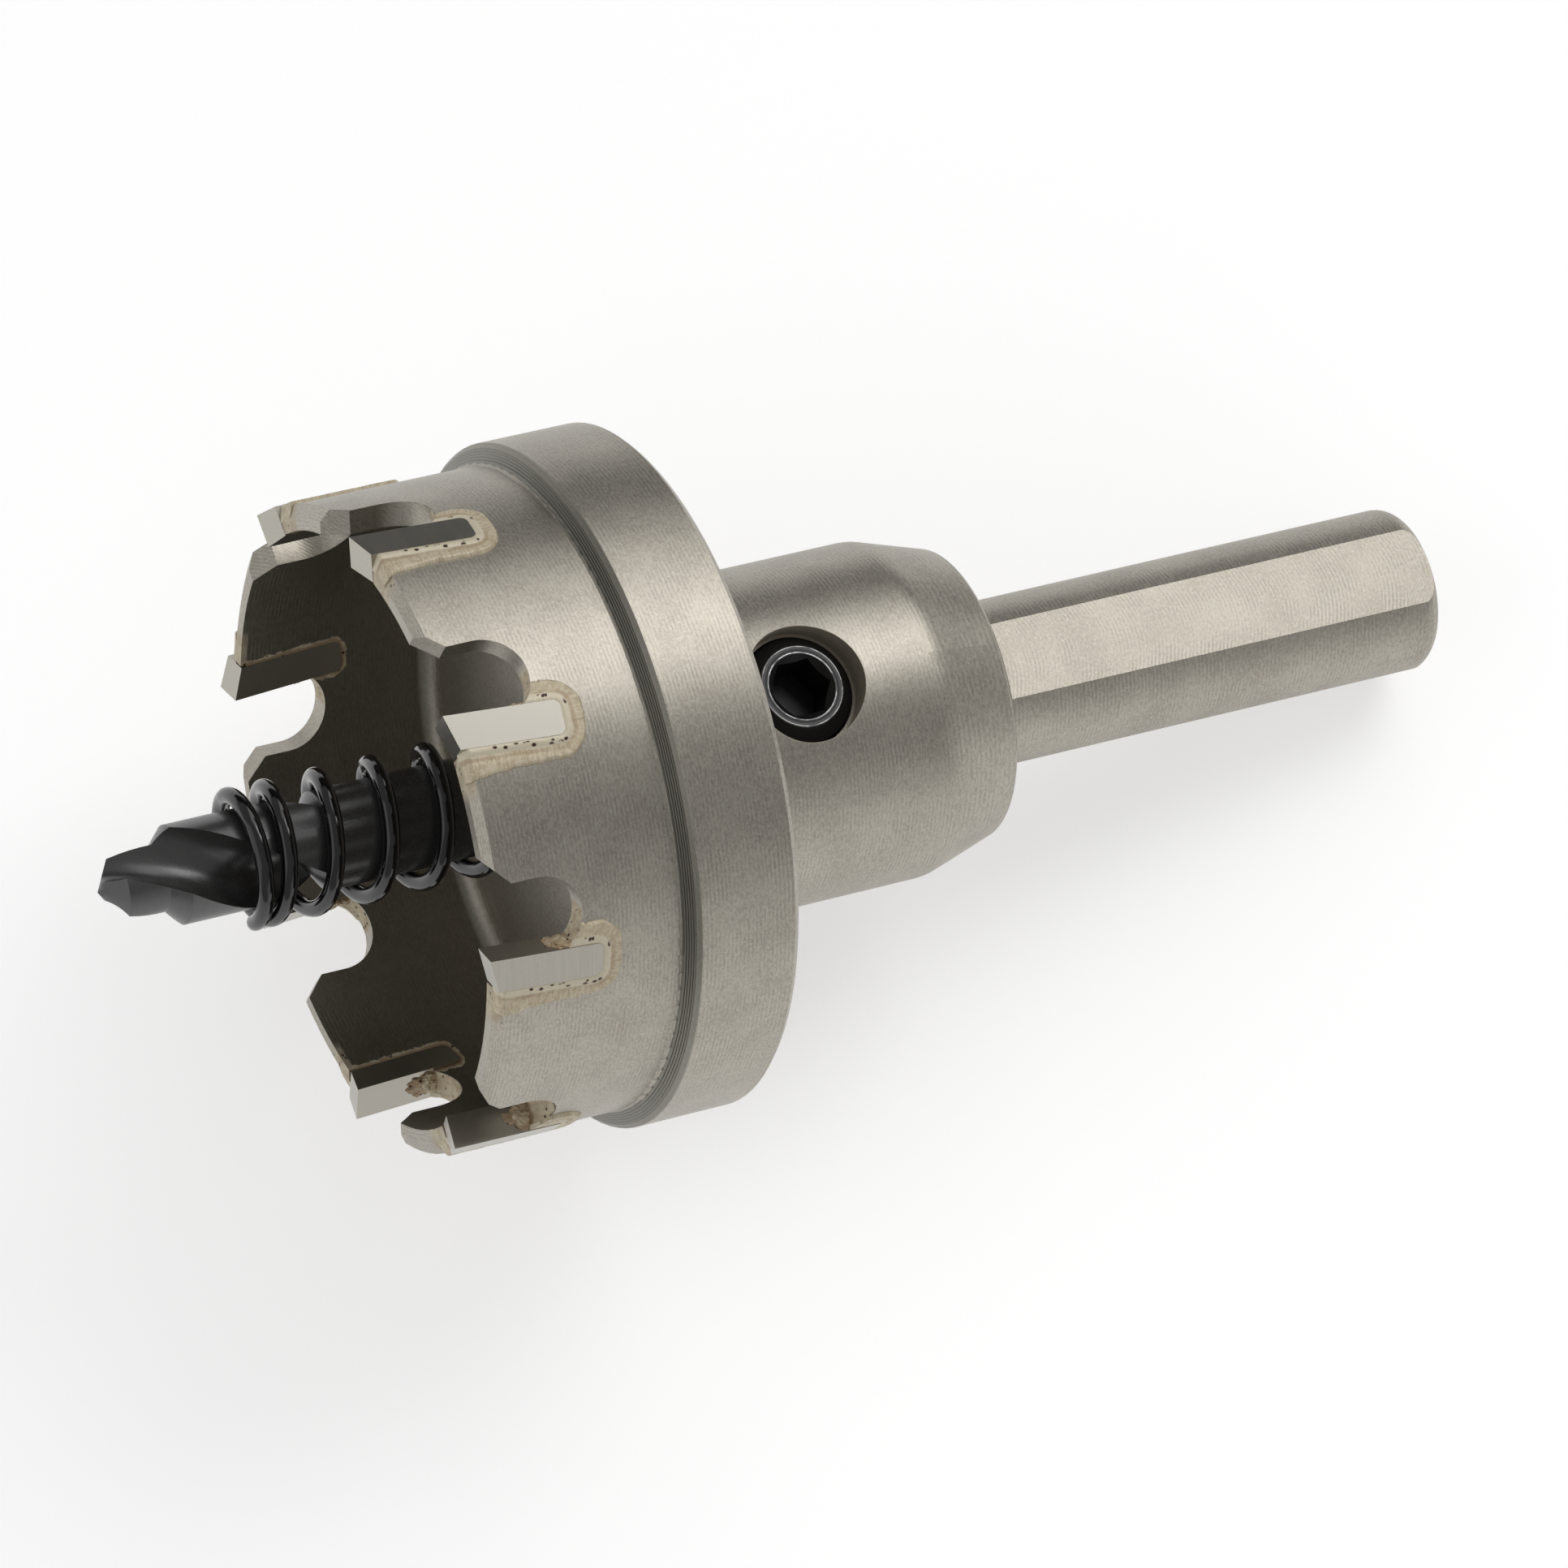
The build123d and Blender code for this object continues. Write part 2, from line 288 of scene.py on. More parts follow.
@dataclass(frozen=True)
class ToolFrame:
    """Where the tool's own axis lies: +Z to the shank, +X at the set screw, the flange's rear at 0."""

    place: Matrix

    @classmethod
    def from_record(cls, record: dict, shank_reach: float) -> ToolFrame:
        """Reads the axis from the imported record's mounts.

        Args:
            record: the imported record.
            shank_reach: how far the shank's end lies behind the flange's rear face, in metres.

        Returns:
            The frame of the tool as it lies.
        """
        mounts = {mount["name"]: mount for mount in record["mounts"]}
        along = Vector(mounts["shank"]["axis"]).normalized()
        screw_side = Vector(mounts["jaw_flat_1"]["axis"]).normalized()
        origin = Vector(mounts["shank"]["pos_m"]) - along * shank_reach
        turn = Matrix((screw_side, along.cross(screw_side), along)).transposed()
        return cls(Matrix.Translation(origin) @ turn.to_4x4())

    def coordinates(self, graph: Graph) -> ToolCoordinates:
        """The tool's coordinates in a material, in millimetres.

        Args:
            graph: the material's nodes.

        Returns:
            The position and its parts.
        """
        inverse = self.place.inverted()
        inputs = {
            "Vector": graph.node("ShaderNodeTexCoord", None, None, "Object"),
            "Location": inverse.to_translation() * PER_METRE,
            "Rotation": inverse.to_euler(),
            "Scale": (PER_METRE,) * 3,
        }
        position = graph.node("ShaderNodeMapping", {"vector_type": "POINT"}, inputs)
        parts = [graph.node("ShaderNodeSeparateXYZ", None, [position], axis) for axis in range(3)]
        radius = (parts[0] * parts[0] + parts[1] * parts[1]).math("SQRT")
        return ToolCoordinates(graph, position, *parts, radius)


@dataclass(frozen=True)
class ToolCoordinates:
    """A point's coordinates about the tool's axis in a material, in millimetres."""

    graph: Graph
    position: Wire
    x: Wire
    y: Wire
    along: Wire
    radius: Wire

    def turned(self, round_scale: float, along_scale: float) -> Wire:
        """Coordinates that draw noise out into turning lines.

        Args:
            round_scale: waves in a millimetre round the axis.
            along_scale: waves in a millimetre along it, and outwards on a faced surface.

        Returns:
            A vector for a noise of scale 1.
        """
        feed = self.along + self.radius
        return self.graph.vector(self.x * round_scale, self.y * round_scale, feed * along_scale)

    def from_screw(self) -> Wire:
        """The distance from the set screw's own axis."""
        aside = self.along - SCREW_PLACE
        return (self.y * self.y + aside * aside).math("SQRT")


@dataclass(frozen=True)
class ToothPlan:
    """The teeth's outline on the wall, in millimetres, as the solids have it."""

    angles: tuple[float, ...] = (-42.0, -0.6, 41.6, 90.7, 137.5, 181.9, 226.4, 274.4)
    thickness: float = 2.0
    reach: float = 18.38
    length: float = 6.83
    corner: float = 0.45
    rake: float = 4.0
    far: float = 99.0

    def distance(self, at: ToolCoordinates) -> Wire:
        """How far a point of the wall is from the nearest tooth's outline.

        Args:
            at: the point's coordinates.

        Returns:
            The distance in millimetres, 0 or less inside an outline.
        """
        nearest: Wire | float = self.far
        for angle in self.angles:
            turn = math.radians(angle)
            outwards = at.x * math.cos(turn) + at.y * math.sin(turn)
            sideways = at.y * math.cos(turn) - at.x * math.sin(turn)
            gap = self.outline_distance(sideways, at.along + self.reach)
            nearest = gap.most(outwards * -1).least(nearest)
        return nearest

    def outline_distance(self, sideways: Wire, rearwards: Wire) -> Wire:
        """The distance to one tooth's outline, from its front corner."""
        lean = math.radians(self.rake)
        across = sideways * math.cos(lean) - rearwards * math.sin(lean)
        down = sideways * math.sin(lean) + rearwards * math.cos(lean)
        over_side = abs(across - self.thickness / 2) - (self.thickness / 2 - self.corner)
        over_end = abs(down - self.length / 2) - (self.length / 2 - self.corner)
        side, end = over_side.most(0), over_end.most(0)
        return (side * side + end * end).math("SQRT") - self.corner


@dataclass(frozen=True)
class SatinSteel:
    """Turned steel with a fine satin plating: the cup, flange, hub and shank."""

    dark: Colour = (0.310, 0.285, 0.245)
    light: Colour = (0.465, 0.435, 0.375)
    # The step's dark colour, which the flange's front edge also takes as painted shade.
    band: Colour = (0.150, 0.150, 0.130)
    inside: Colour = (0.200, 0.180, 0.150)
    # Pale tan, painted light for the set screw's bore wall.
    hole: Colour = (0.420, 0.375, 0.300)
    roughness: float = 0.42
    wall_inner: float = 17.27
    floor: float = -5.83
    step_front: float = -6.80
    step_rear: float = -6.27
    step_radius: float = 18.74
    lip_rear: float = -6.02
    lip_inner: float = 19.62
    groove_pitch: float = 0.15
    turning_pitch: float = 0.25
    grain_tone: float = 1.1
    grit_tone: float = 0.7
    cloud_tone: float = 0.5
    speck_tone: float = 0.5
    turning_tone: float = 0.12
    band_share: float = 0.82
    groove_share: float = 0.16
    lip_shade_share: float = 0.6
    inside_share: float = 0.55
    bore_wall_lit_share: float = 0.85
    turning_height: float = 0.0022
    grain_height: float = 0.0025
    groove_height: float = 0.015
    mouth_radius: float = 3.5
    facet_depths: tuple[float, float] = (0.026, 0.022)
    skin: tuple[float, float] = (0.02, 0.01)
    cylinders: tuple[tuple[float, float, float], ...] = (
        (18.74, -17.47, -6.80),
        (19.93, -6.01, -0.36),
        (9.93, 0.01, 14.34),
    )

    def build(self, tool: ToolFrame, teeth: ToothPlan, braze: BrazeColours) -> bpy.types.Material:
        """Makes the material.

        Args:
            tool: the tool's frame.
            teeth: where the teeth are, for the braze that runs out over the steel.
            braze: the braze's colours.

        Returns:
            The material.
        """
        graph = Graph(bpy.data.materials.new("satin_steel"))
        at = tool.coordinates(graph)
        grain = graph.noise(at.turned(3.0, 10.0), 1.0, 2.0, 0.6)
        grit = graph.noise(at.position, 6.0, 2.0, 0.6)
        specks = graph.noise(at.position, 8.0, 1.0, 0.5).rise(0.62, 0.72)
        cloud = graph.noise(at.position, 0.35, 2.0, 0.5)
        patch = graph.noise(at.position, 0.5, 2.0, 0.5).rise(0.36, 0.60)
        turning = ((at.along + at.radius) * (math.tau / self.turning_pitch)).math("SINE") * patch
        tone = (grain - 0.5) * self.grain_tone + (grit - 0.5) * self.grit_tone + (cloud - 0.5) * self.cloud_tone
        tone = tone + specks * self.speck_tone + turning * self.turning_tone + 0.5
        colour = graph.mix(tone.rise(0.1, 0.9), self.dark, self.light)
        in_band = self.in_step_band(at)
        groove = (at.radius * (math.tau / self.groove_pitch)).math("SINE")
        colour = graph.mix(in_band * (self.band_share - groove * self.groove_share), colour, self.band)
        # Painted shade: the flange's front edge break is darkened towards the step's colour, to hold back the bright
        # reflection that it catches.
        lip_shade = at.along.rise(self.lip_rear, self.lip_rear - 0.04) * at.radius.rise(self.lip_inner, self.lip_inner + 0.05)
        colour = graph.mix(lip_shade * self.lip_shade_share, colour, self.band)
        in_cup = at.radius.rise(self.wall_inner + 0.1, self.wall_inner - 0.05)
        in_cup = in_cup * at.along.rise(self.floor + 0.1, self.floor - 0.6)
        colour = graph.mix(in_cup * self.inside_share, colour, self.inside)
        # Painted light: the set screw's bore wall gets a pale tan, mostly diffuse colour, raised so that the whole wall
        # looks lit, though the lamps leave its lower part in shade.
        in_hole = self.in_screw_hole(at)
        colour = graph.mix(in_hole * self.bore_wall_lit_share, colour, self.hole)
        stain = BrazeRun(teeth).on_steel(graph, at)
        colour = graph.mix(stain, colour, braze.colour(graph, at, teeth.distance(at)))
        height = turning * self.turning_height + (grain + grit) * self.grain_height
        height = height + in_band * groove * self.groove_height
        return graph.finish(
            Base_Color=colour,
            Metallic=1 - stain * 0.8 - in_hole * 0.8,
            Roughness=self.roughness + (grain - 0.5) * 0.15 + stain * 0.25,
            Normal=graph.bump(height, self.true_normal(graph, tool, at)),
        )

    def true_normal(self, graph: Graph, tool: ToolFrame, at: ToolCoordinates) -> Wire:
        """The normal of the true cylinders in place of their facets', and elsewhere the surface's own.

        A point counts as a cylinder's between the depth of its facets and a thin skin outside it.

        Args:
            graph: the material's nodes.
            tool: the tool's frame.
            at: the point's coordinates.

        Returns:
            The normal.
        """
        share: Wire | float = 0.0
        deep, shallow = self.facet_depths
        outer, inner = self.skin
        for radius, front, rear in self.cylinders:
            there = at.radius.rise(radius - deep, radius - shallow) * at.radius.rise(radius + outer, radius + inner)
            there = there * at.along.rise(front, front + 0.01) * at.along.rise(rear, rear - 0.01)
            share = there.most(share)
        inputs = {"Vector": graph.vector(at.x, at.y, 0.0), "Rotation": tool.place.to_euler()}
        outwards = graph.node("ShaderNodeMapping", {"vector_type": "VECTOR"}, inputs)
        outwards = graph.node("ShaderNodeVectorMath", {"operation": "NORMALIZE"}, [outwards])
        own = graph.node("ShaderNodeNewGeometry", None, None, "Normal")
        inputs = {MIX_SHARE: share, **dict(zip(MIX_VECTORS, (own, outwards)))}
        return graph.node("ShaderNodeMix", {"data_type": "VECTOR"}, inputs, MIX_VECTOR)

    def in_step_band(self, at: ToolCoordinates) -> Wire:
        """The share of the dark step between the cup's wall and the flange's front face."""
        front = at.along.rise(self.step_front, self.step_front + 0.04)
        rear = at.along.rise(self.step_rear, self.step_rear - 0.03)
        return front * rear * at.radius.rise(self.step_radius + 0.02, self.step_radius + 0.1)

    def in_screw_hole(self, at: ToolCoordinates) -> Wire:
        """The share of the set screw's hole, by the distance from its own axis."""
        return at.from_screw().rise(self.mouth_radius + 0.06, self.mouth_radius + 0.02) * at.x.rise(2.0, 3.0)


@dataclass(frozen=True)
class BrazeColours:
    """The braze's cream bead, its paler film, the brown valley between them, its pores and the darker colour at its
    outer edge.
    """

    bead: Colour = (0.710, 0.645, 0.495)
    film: Colour = (0.690, 0.610, 0.450)
    film_dark: Colour = (0.520, 0.430, 0.290)
    valley: Colour = (0.420, 0.310, 0.190)
    pore: Colour = (0.060, 0.020, 0.010)
    edge: Colour = (0.240, 0.180, 0.120)

    def colour(self, graph: Graph, at: ToolCoordinates, gap: Wire) -> Wire:
        """The colour of thin braze by its distance from the tooth.

        Args:
            graph: the material's nodes.
            at: the point's coordinates.
            gap: the distance from the tooth's outline.

        Returns:
            The colour.
        """
        wander = graph.noise(at.position, 1.6, 3.0, 0.6)
        base = graph.mix(wander.rise(0.35, 0.65), self.film_dark, self.film)
        near = (gap + (wander - 0.5) * 0.3).rise(0.12, 0.3)
        colour = graph.mix(near, self.valley, base)
        cells = graph.node("ShaderNodeTexVoronoi", None, {"Vector": at.position, "Scale": 1.9})
        pores = cells.rise(0.24, 0.14) * graph.noise(at.position, 0.7, 1.0, 0.5).rise(0.40, 0.5)
        return graph.mix(pores, colour, self.pore)


@dataclass(frozen=True)
class BrazeRun:
    """Where thin braze lies on the steel: inside the cup, in the gullets and on the rim."""

    teeth: ToothPlan
    margin: float = 0.35
    inner: float = 17.3
    outer: float = 18.7
    gullet_width: float = 2.1
    gullet_front: float = -14.8
    rim_width: float = 2.4
    rim: float = -17.5
    rim_share: float = 0.7
    raggedness: float = 0.7

    def on_steel(self, graph: Graph, at: ToolCoordinates) -> Wire:
        """The share of braze on the steel's surface.

        Args:
            graph: the material's nodes.
            at: the point's coordinates.

        Returns:
            0 for bare steel, 1 for braze.
        """
        ragged = graph.noise(at.position, 2.6, 3.0, 0.6) - 0.5
        edge = self.teeth.distance(at) + ragged * self.raggedness
        inside = edge.rise(self.margin + 0.05, self.margin - 0.05) * at.radius.rise(self.inner, self.inner - 0.03)
        in_wall = at.radius.rise(self.inner, self.inner + 0.05) * at.radius.rise(self.outer, self.outer - 0.05)
        gullet = edge.rise(self.gullet_width + 0.15, self.gullet_width - 0.15) * in_wall
        gullet = gullet * (at.along + ragged).rise(self.gullet_front, self.gullet_front + 0.3)
        rim = edge.rise(self.rim_width + 0.3, self.rim_width - 0.6) * at.along.rise(self.rim, self.rim - 0.05)
        return inside.most(gullet).most(rim * self.rim_share)


@dataclass(frozen=True)
class BrazeMetal:
    """The solid braze in the joints, and with a film attribute the braze that flowed over the wall."""

    colours: BrazeColours
    roughness: float = 0.5
    valley_share: float = 0.65
    ridge_height: float = 0.03
    pore_depth: float = 0.08
    grit_height: float = 0.012

    def build(self, tool: ToolFrame, teeth: ToothPlan) -> bpy.types.Material:
        """Makes the material of the joints.

        Args:
            tool: the tool's frame.
            teeth: where the teeth are.

        Returns:
            The material.
        """
        graph = Graph(bpy.data.materials.new("braze"))
        at = tool.coordinates(graph)
        return self.close(graph, at, self.colours.colour(graph, at, teeth.distance(at)), 0.0)

    def build_flowed(self, tool: ToolFrame) -> bpy.types.Material:
        """Makes the material of the flowed braze: a bead with pores, a valley and a ridged film.

        Args:
            tool: the tool's frame.

        Returns:
            The material.
        """
        graph = Graph(bpy.data.materials.new("flowed_braze"))
        at = tool.coordinates(graph)
        film = graph.node("ShaderNodeAttribute", {"attribute_name": BrazeFilm.attribute}, None, "Vector")
        gap, edge, path = [graph.node("ShaderNodeSeparateXYZ", None, [film], axis) for axis in range(3)]
        wander = graph.noise(at.position, 1.3, 2.0, 0.5) - 0.5
        place = gap + wander * 0.22
        ridges = graph.noise(graph.vector(path * 7.0, gap * 1.2, 0.0), 1.0, 2.0, 0.5)
        speckle = graph.noise(at.position, 5.0, 3.0, 0.7)
        outer = graph.mix((ridges * 0.5 + speckle * 0.5).rise(0.38, 0.6), self.colours.film_dark, self.colours.film)
        inner = graph.mix(speckle.rise(0.35, 0.55), self.colours.film, self.colours.bead)
        colour = graph.mix(place.rise(0.40, 0.56), inner, outer)
        valley = place.rise(0.44, 0.54) * place.rise(0.82, 0.66)
        valley = valley * graph.noise(at.position, 0.45, 1.0, 0.5).rise(0.35, 0.6)
        colour = graph.mix(valley * self.valley_share, colour, self.colours.valley)
        spots = graph.vector(path * 2.0, gap * 2.4, 0.0)
        cells = graph.node("ShaderNodeTexVoronoi", None, {"Vector": spots, "Scale": 1.0})
        pores = cells.rise(0.32, 0.20) * gap.rise(0.03, 0.08) * gap.rise(0.46, 0.36)
        pores = pores * graph.noise(at.position, 0.8, 1.0, 0.5).rise(0.30, 0.38)
        colour = graph.mix(pores, colour, self.colours.pore)
        rim = (edge + wander * 0.06).rise(0.07, 0.02)
        colour = graph.mix(rim * 0.5, colour, self.colours.edge)
        height = ridges * gap.rise(0.45, 0.6) * self.ridge_height - pores * self.pore_depth
        return self.close(graph, at, colour, height)

    def close(self, graph: Graph, at: ToolCoordinates, colour: Wire, height: Wire | float) -> bpy.types.Material:
        """Ends either material with the same gritty, half metallic surface."""
        grit = graph.noise(at.position, 7.0, 3.0, 0.6)
        return graph.finish(
            Base_Color=colour,
            Metallic=0.2,
            Roughness=self.roughness + (grit - 0.5) * 0.3,
            Normal=graph.bump(grit * self.grit_height + height),
        )


@dataclass(frozen=True)
class GroundCarbide:
    """Carbide with faint grinding lines round the cup."""

    dark: Colour = (0.415, 0.392, 0.343)
    light: Colour = (0.450, 0.428, 0.374)
    roughness: float = 0.25
    line_height: float = 0.0001

    def build(self, tool: ToolFrame) -> bpy.types.Material:
        """Makes the material for the tool's frame."""
        graph = Graph(bpy.data.materials.new("ground_carbide"))
        at = tool.coordinates(graph)
        lines = graph.noise(at.turned(0.25, 9.0), 1.0, 3.0, 0.6)
        grain = graph.noise(at.position, 16.0, 2.0, 0.5)
        tone = (lines * 0.65 + grain * 0.35).rise(0.25, 0.75)
        return graph.finish(
            Base_Color=graph.mix(tone, self.dark, self.light),
            Metallic=0.9,
            Roughness=self.roughness + (lines - 0.5) * 0.08,
            Normal=graph.bump(lines * self.line_height + grain * self.line_height),
        )


@dataclass(frozen=True)
class BlackSteel:
    """Black oxide or black lacquer on steel."""

    name: str
    colour: Colour
    wear_and_glint: Colour
    roughness: float
    ior: float = 1.5
    grit: float = 8.0
    wear_share: float = 0.35
    grit_height: float = 0.002

    def build(self, tool: ToolFrame) -> bpy.types.Material:
        """Makes the material for the tool's frame."""
        graph = Graph(bpy.data.materials.new(self.name))
        at = tool.coordinates(graph)
        cloud = graph.noise(at.position, 1.1, 3.0, 0.6)
        grit = graph.noise(at.position, self.grit, 3.0, 0.6)
        wear = (cloud * 0.6 + grit * 0.4).rise(0.55, 0.75) * self.wear_share
        return graph.finish(
            Base_Color=graph.mix(wear, self.colour, self.wear_and_glint),
            IOR=self.ior,
            Roughness=self.roughness + (grit - 0.5) * 0.2,
            Normal=graph.bump(grit * self.grit_height),
        )


@dataclass(frozen=True)
class ScrewFinish:
    """The set screw's end: black, with two bright rings round its socket, painted highlights along the socket's edge
    and the rim's edge.
    """

    black: Colour = (0.008, 0.008, 0.008)
    grey: Colour = (0.070, 0.070, 0.072)
    # Bright metal for the painted highlights on the edges.
    wear_and_glint: Colour = (0.360, 0.360, 0.355)
    socket_ring: float = 2.02
    rim_ring: float = 2.40
    ring_width: float = 0.06
    end_place: float = 8.7
    grit_height: float = 0.004

    def ring(self, distance: Wire, radius: float) -> Wire:
        """A thin ring about the screw's axis."""
        return abs(distance - radius).rise(self.ring_width, self.ring_width * 0.4)

    def build(self, tool: ToolFrame) -> bpy.types.Material:
        """Makes the material for the tool's frame."""
        graph = Graph(bpy.data.materials.new("screw_oxide"))
        at = tool.coordinates(graph)
        grit = graph.noise(at.position, 9.0, 3.0, 0.6)
        distance = at.from_screw() + (grit - 0.5) * 0.06
        middle = (self.socket_ring + self.rim_ring) / 2
        end = distance.rise(middle - 0.03, middle + 0.03) * distance.rise(self.rim_ring + 0.05, self.rim_ring)
        colour = graph.mix(end, self.black, self.grey)
        # Painted highlights: thin bright metallic rings along the socket's edge and the end's rim, broken here and
        # there by noise.
        rings = self.ring(distance, self.socket_ring).most(self.ring(distance, self.rim_ring))
        glint_gaps = graph.noise(at.position, 1.3, 2.0, 0.6).rise(0.32, 0.62)
        rings = rings * at.x.rise(self.end_place, self.end_place + 0.2) * (0.25 + glint_gaps * 0.75)
        colour = graph.mix(rings, colour, self.wear_and_glint)
        return graph.finish(
            Base_Color=colour,
            Metallic=rings,
            Specular_IOR_Level=0.3,
            Roughness=0.40 + (grit - 0.5) * 0.2,
            Normal=graph.bump(grit * self.grit_height),
        )


@dataclass(frozen=True)
class PaleFloor:
    """The plain white floor that the tool lies on, in metres. It shows whiter than it lights."""

    colour: Colour = (0.86, 0.86, 0.86)
    glow: float = 0.50
    half_width: float = 3.0

    def build(self) -> bpy.types.Object:
        """Makes the floor as a wide flat face at height 0.

        Returns:
            The floor.
        """
        bpy.ops.object.select_all(action="DESELECT")
        bpy.ops.mesh.primitive_plane_add(size=2 * self.half_width, location=(0.0, 0.0, 0.0))
        floor = bpy.context.object
        floor.name = "floor"
        graph = Graph(bpy.data.materials.new("floor_paper"))
        path = graph.add("ShaderNodeLightPath", None, None)
        camera, glossy, through = [
            Wire(graph, path.outputs[name]) for name in ("Is Camera Ray", "Is Glossy Ray", "Is Transmission Ray")
        ]
        glow = graph.mix(camera.most(glossy).most(through), (0.0, 0.0, 0.0), (self.glow,) * 3)
        paper = graph.finish(
            Base_Color=self.colour, Roughness=0.9, Specular_IOR_Level=0.1, Emission_Color=glow, Emission_Strength=1.0
        )
        floor.data.materials.append(paper)
        return floor


@dataclass(frozen=True)
class DarkCard:
    """A black card behind the tool, in metres, unseen by the camera: steel that faces low mirrors it."""

    place: tuple[float, float] = (0.055, 0.135)
    facing: float = 68.0
    width: float = 0.34
    height: float = 0.07

    def build(self) -> bpy.types.Object:
        """Stands the card on the floor.

        Returns:
            The card, which no camera sees.
        """
        bpy.ops.object.select_all(action="DESELECT")
        bpy.ops.mesh.primitive_plane_add(size=1.0, location=(*self.place, self.height / 2))
        card = bpy.context.object
        card.name = "dark_card"
        card.scale = (self.width, self.height, 1.0)
        card.rotation_euler = (math.pi / 2, 0.0, math.radians(self.facing - 90))
        graph = Graph(bpy.data.materials.new("black_cloth"))
        card.data.materials.append(graph.finish(Base_Color=(0.01, 0.01, 0.01), Roughness=1.0))
        card.visible_camera = False
        return card


@dataclass(frozen=True)
class Softbox:
    """A rectangular soft lamp that faces the tool, with its distance and size in metres."""

    name: str
    direction: tuple[float, float, float]
    distance: float
    size: tuple[float, float]
    radiance: float

    def build(self, target: Vector) -> bpy.types.Object:
        """Hangs the lamp.

        Args:
            target: the point it faces, in metres.

        Returns:
            The lamp.
        """
        lamp = bpy.data.lights.new(self.name, "AREA")
        lamp.shape = "RECTANGLE"
        lamp.size, lamp.size_y = self.size
        lamp.energy = self.radiance * math.pi * self.size[0] * self.size[1]
        holder = bpy.data.objects.new(self.name, lamp)
        bpy.context.scene.collection.objects.link(holder)
        towards = Vector(self.direction).normalized()
        holder.location = target + towards * self.distance
        holder.rotation_euler = towards.to_track_quat("Z", "Y").to_euler()
        return holder


@dataclass(frozen=True)
class Studio:
    """The floor, the lamps and the soft light all round."""

    ambient: float = 0.34
    target: tuple[float, float, float] = (0.0, 0.0, 0.02)
    lamps: tuple[Softbox, ...] = (
        Softbox("key_softbox", (0.60, 0.60, 0.53), 0.62, (0.62, 0.62), 1.15),
        Softbox("key_core", (0.63, 0.36, 0.69), 0.60, (0.26, 0.26), 2.3),
        Softbox("side_softbox", (0.45, -0.85, 0.16), 0.70, (0.80, 0.36), 0.42),
        Softbox("mouth_softbox", (-0.90, 0.05, 0.45), 0.70, (0.70, 0.70), 0.5),
    )

    def build(self) -> None:
        """Sets up the stage."""
        PaleFloor().build()
        DarkCard().build()
        for lamp in self.lamps:
            lamp.build(Vector(self.target))
        world = bpy.data.worlds.new("studio_air")
        bpy.context.scene.world = world
        world.use_nodes = True
        background = world.node_tree.nodes["Background"]
        background.inputs["Color"].default_value = (1.0, 1.0, 1.0, 1.0)
        background.inputs["Strength"].default_value = self.ambient
        bpy.context.scene.view_settings.view_transform = "Standard"


@dataclass(frozen=True)
class Viewpoint:
    """The photograph's viewpoint, in millimetres in the tool's own frame."""

    location: tuple[float, float, float] = (460.872, 122.014, -189.787)
    forward: tuple[float, float, float] = (-0.894388, -0.230989, 0.383033)
    up: tuple[float, float, float] = (0.328505, -0.920398, 0.212018)
    lens: float = 206.5
    sensor: float = 36.0

    def build(self, tool: ToolFrame) -> bpy.types.Object:
        """Places the camera and makes it the scene's own.

        Args:
            tool: the tool's frame, which the camera is turned with.

        Returns:
            The camera.
        """
        data = bpy.data.cameras.new("studio_camera")
        data.lens = self.lens
        data.sensor_width = self.sensor
        data.clip_start = 0.01
        camera = bpy.data.objects.new("studio_camera", data)
        bpy.context.scene.collection.objects.link(camera)
        back = -Vector(self.forward).normalized()
        right = Vector(self.up).cross(back).normalized()
        upwards = back.cross(right)
        turn = Matrix((right, upwards, back)).transposed().to_4x4()
        camera.matrix_world = tool.place @ Matrix.Translation(Vector(self.location) * MM) @ turn
        bpy.context.scene.camera = camera
        return camera


@dataclass(frozen=True)
class CoilStretch:
    """A run of turns with one pitch."""

    turns: float
    pitch: float


